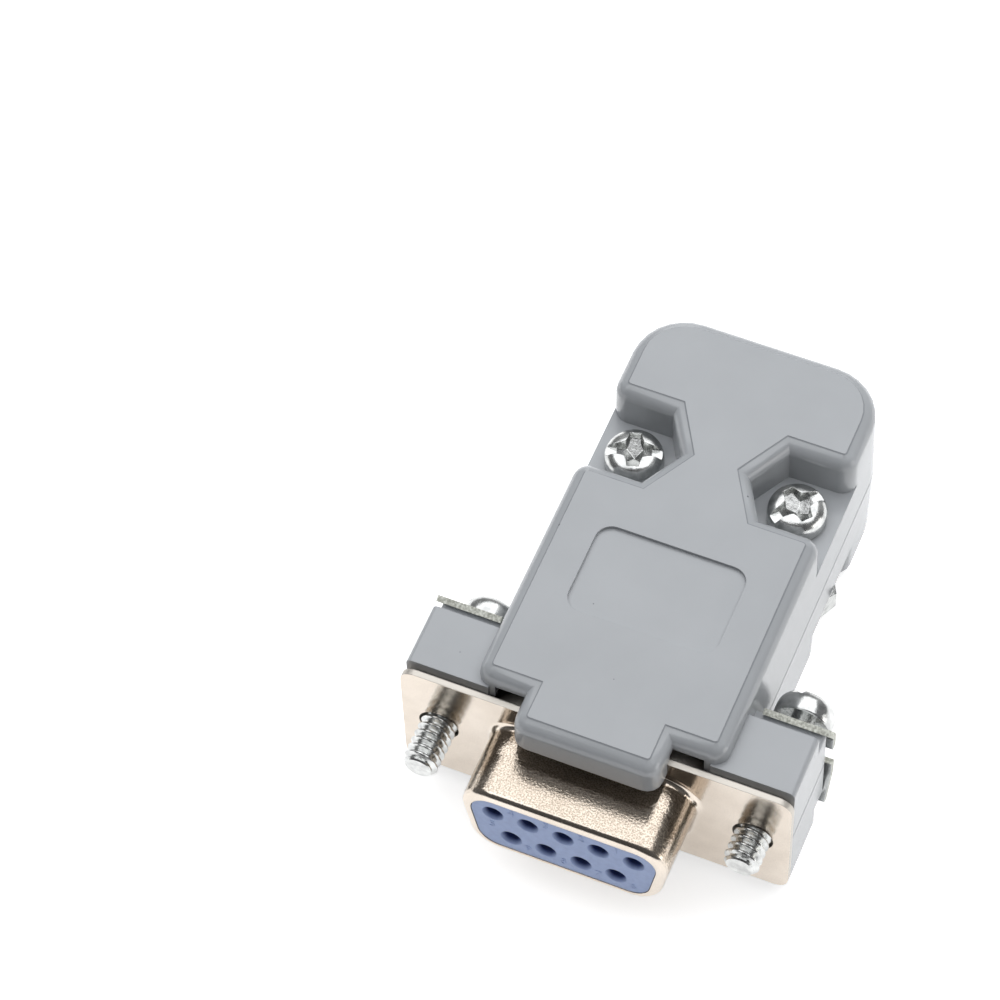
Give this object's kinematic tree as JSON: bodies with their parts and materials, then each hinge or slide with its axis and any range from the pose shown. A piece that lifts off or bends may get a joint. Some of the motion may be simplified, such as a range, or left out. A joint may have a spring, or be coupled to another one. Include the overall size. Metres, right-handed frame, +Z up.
{
  "type": "d-sub socket",
  "caption": "Small D-sub cable socket with a keystone metal nose, blue insulator and solder cups, closed in a grey two-piece plastic hood with captive jackscrews and a round cable entry.",
  "frame": {"origin": "centre of the mounting flange's front face, midway between the two jackscrews", "axes": "X across the contacts, -Y out of the mating nose, +Y back along the cable, +Z up towards the wide side of the keystone"},
  "size_m": [0.0312, 0.0437, 0.0164],
  "materials": {
    "hood_plastic": "satin grey moulded plastic",
    "shell_plate": "nickel-plated drawn steel",
    "insulator_plastic": "blue moulded plastic",
    "contact_metal": "gold-flashed turned brass",
    "clip_steel": "bright zinc-plated sheet steel",
    "saddle_steel": "zinc-plated sheet steel",
    "screw_zinc": "bright zinc-plated steel"
  },
  "bodies": {
    "hood": {"front_shell": "shell_plate", "rear_shell": "shell_plate", "front_insulator": "insulator_plastic", "rear_insulator": "insulator_plastic", "contact_1": "contact_metal", "contact_2": "contact_metal", "contact_3": "contact_metal", "contact_4": "contact_metal", "contact_5": "contact_metal", "contact_6": "contact_metal", "contact_7": "contact_metal", "contact_8": "contact_metal", "contact_9": "contact_metal", "upper_hood": "hood_plastic", "lower_hood": "hood_plastic", "left_clip": "clip_steel", "right_clip": "clip_steel", "left_closing_screw": "screw_zinc", "right_closing_screw": "screw_zinc", "left_nut": "screw_zinc", "right_nut": "screw_zinc", "upper_saddle": "saddle_steel", "lower_saddle": "saddle_steel", "left_saddle_screw": "screw_zinc", "right_saddle_screw": "screw_zinc"},
    "left_jackscrew": {"left_jackscrew": "screw_zinc"},
    "right_jackscrew": {"right_jackscrew": "screw_zinc"}
  },
  "joints": [
    {"name": "left_jackscrew_turn", "type": "hinge", "parent": "hood", "child": "left_jackscrew", "pos_m": [-0.01249, 0, 0], "axis": [0, -1, 0], "continuous": true},
    {"name": "right_jackscrew_turn", "type": "hinge", "parent": "hood", "child": "right_jackscrew", "pos_m": [0.01249, 0, 0], "axis": [0, -1, 0], "continuous": true}
  ]
}
